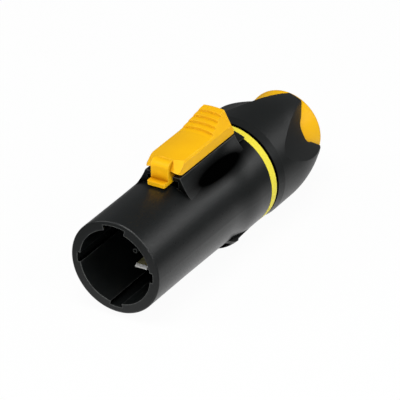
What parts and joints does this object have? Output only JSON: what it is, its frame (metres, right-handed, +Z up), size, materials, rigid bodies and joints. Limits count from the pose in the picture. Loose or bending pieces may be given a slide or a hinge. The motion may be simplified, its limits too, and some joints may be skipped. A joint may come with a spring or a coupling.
{
  "type": "locking cable connector",
  "caption": "Round locking power connector for a cable, with a keyed front sleeve, sliding thumb latch and screwed rear bushing.",
  "frame": {"origin": "on the connector's axis, at the front rim of the sleeve", "axes": "+Y along the axis from the front rim to the cable end, +Z up through the middle of the latch, +X to the right seen from behind the cable end"},
  "size_m": [0.0249, 0.0715, 0.0318],
  "materials": {
    "housing": "black moulded plastic with a fine satin texture",
    "latch": "orange-yellow satin plastic",
    "spring": "drawn spring wire",
    "insert": "black moulded plastic",
    "inner_seal": "black rubber",
    "earth_contact": "brass with a silvered tip",
    "live_contact": "brass with a silvered tip",
    "screw": "plated steel",
    "seal_ring": "lemon-yellow satin plastic",
    "chuck": "white moulded plastic",
    "gland": "black rubber",
    "core": "orange-yellow satin plastic",
    "grip": "black soft-touch plastic"
  },
  "bodies": {
    "housing": {"front_housing": "housing", "contact_insert": "insert", "insert_seal": "inner_seal", "earth_contact": "earth_contact", "earth_screw": "screw", "line_contact": "live_contact", "line_screw": "screw", "neutral_contact": "live_contact", "neutral_screw": "screw", "seal_ring": "seal_ring", "latch_spring": "spring"},
    "latch": {"latch_slider": "latch"},
    "clamp": {"chuck": "chuck", "cable_gland": "gland"},
    "bushing": {"rear_bushing": "core", "bushing_grip": "grip"}
  },
  "joints": [
    {"name": "latch_slide", "type": "slide", "parent": "housing", "child": "latch", "axis": [0, 1, 0], "range_m": [0, 0.003], "stiffness_N_per_m": 300, "springref_m": -0.002, "deforming": ["latch_spring"]},
    {"name": "clamp_advance", "type": "slide", "parent": "housing", "child": "clamp", "axis": [0, 1, 0], "range_m": [0, 0.0045]},
    {"name": "bushing_turn", "type": "hinge", "parent": "clamp", "child": "bushing", "pos_m": [0, 0.059, 0], "axis": [0, 1, 0], "range_deg": [0, 1080]}
  ],
  "couplings": [
    {"joint": "clamp_advance", "follows": "bushing_turn", "m_per_rad": 0.00023873}
  ]
}
